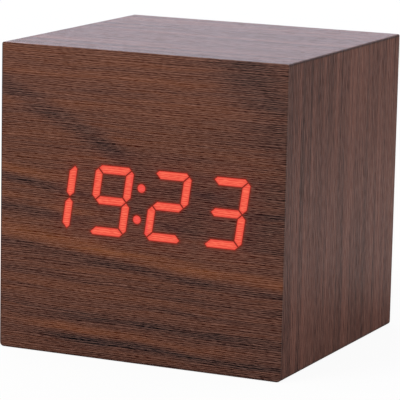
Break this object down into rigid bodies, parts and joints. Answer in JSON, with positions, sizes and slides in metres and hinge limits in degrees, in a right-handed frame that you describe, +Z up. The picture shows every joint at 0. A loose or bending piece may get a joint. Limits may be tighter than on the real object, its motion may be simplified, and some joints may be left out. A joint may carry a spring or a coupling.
{
  "type": "wooden digital alarm clock",
  "caption": "Cube-shaped bedside alarm clock in walnut film, with a red time display shining through its front, buttons and a battery door at the back.",
  "frame": {"origin": "on the surface it stands on, under the middle of the box", "axes": "+Z up, the display faces -Y, +X to the right as the display is read"},
  "size_m": [0.063, 0.06, 0.063],
  "materials": {
    "walnut_film": "satin printed film",
    "walnut_board": "satin film over fibreboard",
    "fibreboard": "raw, matte",
    "lit_segment": "glowing",
    "display_black": "matte",
    "segment_resin": "milky resin",
    "led_die": "clear drop over the die",
    "circuit_board": "solder mask",
    "black_plastic": "fine moulded grain",
    "button_plastic": "smooth satin",
    "dark_resin": "matte",
    "white_plastic": "satin",
    "steel": "zinc plated",
    "nickel": "nickel plated",
    "brass": "bright",
    "bright_can": "satin",
    "capacitor_sleeve": "shrunk sleeve",
    "cell_sleeve": "gloss wrap",
    "bead": "dipped resin",
    "red_insulation": "satin",
    "black_insulation": "satin",
    "grey_insulation": "satin"
  },
  "bodies": {
    "case": {"front_film": "walnut_film", "lit_segments": "lit_segment", "front_board": "fibreboard", "top_board": "walnut_board", "bottom_board": "walnut_board", "left_board": "walnut_board", "right_board": "walnut_board", "corner_blocks": "fibreboard", "display_housing": "display_black", "display_substrate": "circuit_board", "display_segments": "segment_resin", "led_chips": "led_die", "display_pins": "steel", "main_board": "circuit_board", "board_spacers": "white_plastic", "board_screws": "steel", "clock_chip": "dark_resin", "crystal_can": "bright_can", "buzzer": "dark_resin", "capacitor": "capacitor_sleeve", "ribbon_header": "white_plastic", "driver_transistors": "dark_resin", "segment_resistors": "dark_resin", "rear_cover": "black_plastic", "cover_screws": "steel", "button_board": "circuit_board", "button_board_screws": "steel", "switch_housings": "dark_resin", "power_jack": "dark_resin", "power_jack_pin": "brass", "microphone": "bright_can", "thermistor": "bead", "positive_contact": "nickel", "negative_contact": "nickel", "left_link_contact": "nickel", "right_link_contact": "nickel", "top_cell": "cell_sleeve", "middle_cell": "cell_sleeve", "bottom_cell": "cell_sleeve", "red_lead": "red_insulation", "black_lead": "black_insulation", "microphone_lead": "grey_insulation", "ribbon_cable": "grey_insulation"},
    "set_key": {"set_button": "button_plastic", "set_plunger": "white_plastic"},
    "up_key": {"up_button": "button_plastic", "up_plunger": "white_plastic"},
    "down_key": {"down_button": "button_plastic", "down_plunger": "white_plastic"},
    "door": {"battery_door": "black_plastic"}
  },
  "joints": [
    {"name": "set_press", "type": "slide", "parent": "case", "child": "set_key", "axis": [0, -1, 0], "range_m": [0, 0.0003], "stiffness_N_per_m": 2000, "springref_m": -0.0001},
    {"name": "up_press", "type": "slide", "parent": "case", "child": "up_key", "axis": [0, -1, 0], "range_m": [0, 0.0003], "stiffness_N_per_m": 2000, "springref_m": -0.0001},
    {"name": "down_press", "type": "slide", "parent": "case", "child": "down_key", "axis": [0, -1, 0], "range_m": [0, 0.0003], "stiffness_N_per_m": 2000, "springref_m": -0.0001},
    {"name": "door_hinge", "type": "hinge", "parent": "case", "child": "door", "pos_m": [0, 0.0276, 0.0136], "axis": [-1, 0, 0], "range_deg": [0, 95]}
  ]
}
